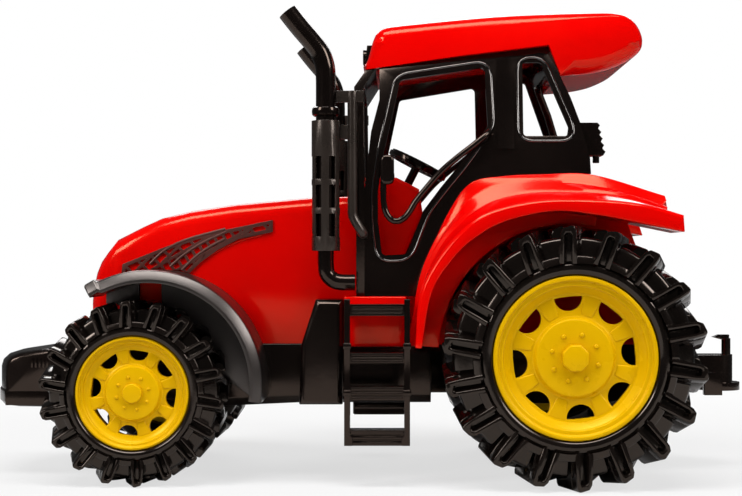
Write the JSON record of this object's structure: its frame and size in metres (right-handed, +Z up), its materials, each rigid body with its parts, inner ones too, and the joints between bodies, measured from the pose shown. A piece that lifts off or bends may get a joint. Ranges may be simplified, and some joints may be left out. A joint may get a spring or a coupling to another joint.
{
  "type": "toy tractor",
  "caption": "Moulded plastic toy tractor with an open cab, upright stacks, ladders, lugged wheels that turn freely and a tow pin at the back.",
  "frame": {"origin": "on the floor under the middle of the toy's length and width", "axes": "+X forward towards the front weight, +Y to the tractor's left, +Z up"},
  "size_m": [0.28, 0.136, 0.1682],
  "materials": {
    "red_plastic": "high gloss",
    "black_plastic": "gloss",
    "grey_black_plastic": "semi-gloss",
    "dark_print": "satin",
    "yellow_plastic": "satin",
    "tyre_plastic": "gloss",
    "steel_rod": "drawn"
  },
  "bodies": {
    "tractor": {"chassis": "black_plastic", "axle_front": "steel_rod", "axle_rear": "steel_rod", "front_weight": "black_plastic", "hitch": "black_plastic", "hood": "red_plastic", "deck": "red_plastic", "cab_front": "black_plastic", "cab_rear": "black_plastic", "roof": "red_plastic", "roof_light_bar": "black_plastic", "dashboard": "red_plastic", "steering_wheel": "black_plastic", "seat": "black_plastic", "grille_left": "dark_print", "grille_right": "dark_print", "mudguard_left": "black_plastic", "mudguard_right": "black_plastic", "fender_left": "red_plastic", "fender_right": "red_plastic", "cab_side_left": "black_plastic", "cab_side_right": "black_plastic", "rear_lamp_left": "black_plastic", "rear_lamp_right": "black_plastic", "exhaust_left": "black_plastic", "exhaust_right": "black_plastic", "muffler_left": "grey_black_plastic", "muffler_right": "grey_black_plastic", "grab_rail_left": "grey_black_plastic", "grab_rail_right": "grey_black_plastic", "mirror_rail_left": "black_plastic", "mirror_rail_right": "black_plastic", "ladder_left": "black_plastic", "ladder_right": "black_plastic", "side_box_left": "black_plastic", "side_box_right": "black_plastic"},
    "wheel_front_left": {"tyre_front_left": "tyre_plastic", "rim_front_left": "yellow_plastic"},
    "wheel_front_right": {"tyre_front_right": "tyre_plastic", "rim_front_right": "yellow_plastic"},
    "wheel_rear_left": {"tyre_rear_left": "tyre_plastic", "rim_rear_left": "yellow_plastic"},
    "wheel_rear_right": {"tyre_rear_right": "tyre_plastic", "rim_rear_right": "yellow_plastic"}
  },
  "joints": [
    {"name": "spin_front_left", "type": "hinge", "parent": "tractor", "child": "wheel_front_left", "pos_m": [0.0822, 0.045, 0.0325], "axis": [0, 1, 0], "continuous": true},
    {"name": "spin_front_right", "type": "hinge", "parent": "tractor", "child": "wheel_front_right", "pos_m": [0.0822, -0.045, 0.0325], "axis": [0, 1, 0], "continuous": true},
    {"name": "spin_rear_left", "type": "hinge", "parent": "tractor", "child": "wheel_rear_left", "pos_m": [-0.0704, 0.053, 0.0454], "axis": [0, 1, 0], "continuous": true},
    {"name": "spin_rear_right", "type": "hinge", "parent": "tractor", "child": "wheel_rear_right", "pos_m": [-0.0704, -0.053, 0.0454], "axis": [0, 1, 0], "continuous": true}
  ]
}
